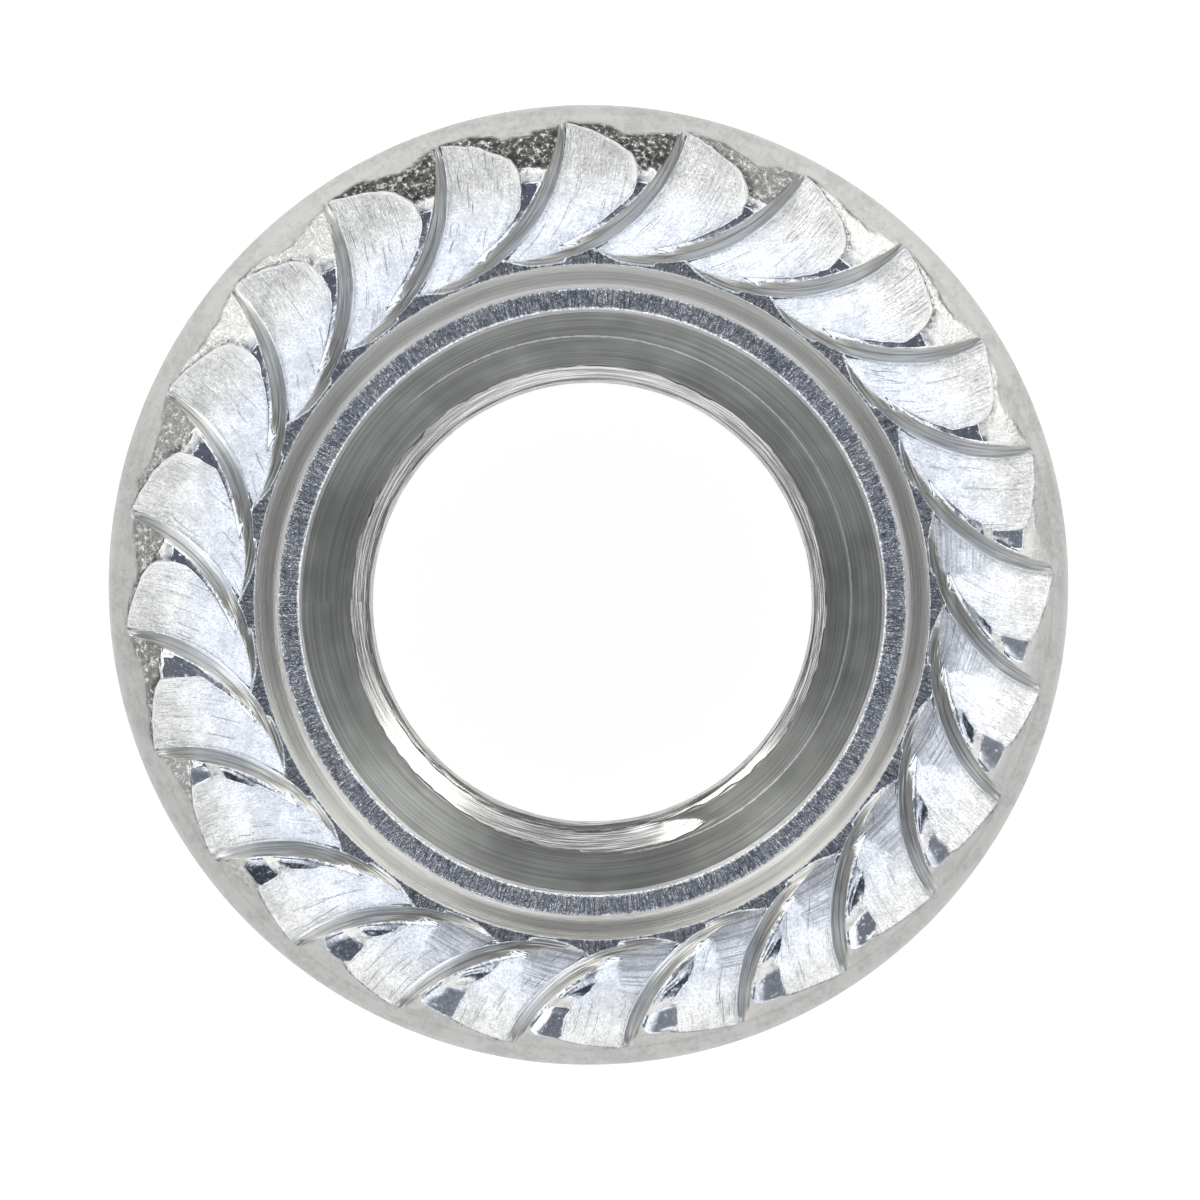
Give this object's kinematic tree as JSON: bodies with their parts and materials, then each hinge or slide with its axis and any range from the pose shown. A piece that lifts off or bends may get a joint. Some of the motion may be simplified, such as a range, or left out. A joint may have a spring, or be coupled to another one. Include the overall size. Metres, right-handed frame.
{
  "type": "serrated flange nut",
  "caption": "Hexagon nut with a round integral flange whose bearing face carries a ring of curved one-way serrations; zinc-plated steel, right-hand fine thread.",
  "frame": {"origin": "on the axis of the bore, at the flat end face of the hexagon", "axes": "+Z along the bore from the hexagon to the serrated bearing face; +X towards a corner of the hexagon; +Y square to it, towards a flat"},
  "size_m": [0.019, 0.019, 0.0098],
  "materials": {
    "zinc_plated_steel": "bright zinc plate, brushed ramps"
  },
  "bodies": {
    "root": {"flange_nut": "zinc_plated_steel"}
  },
  "joints": []
}
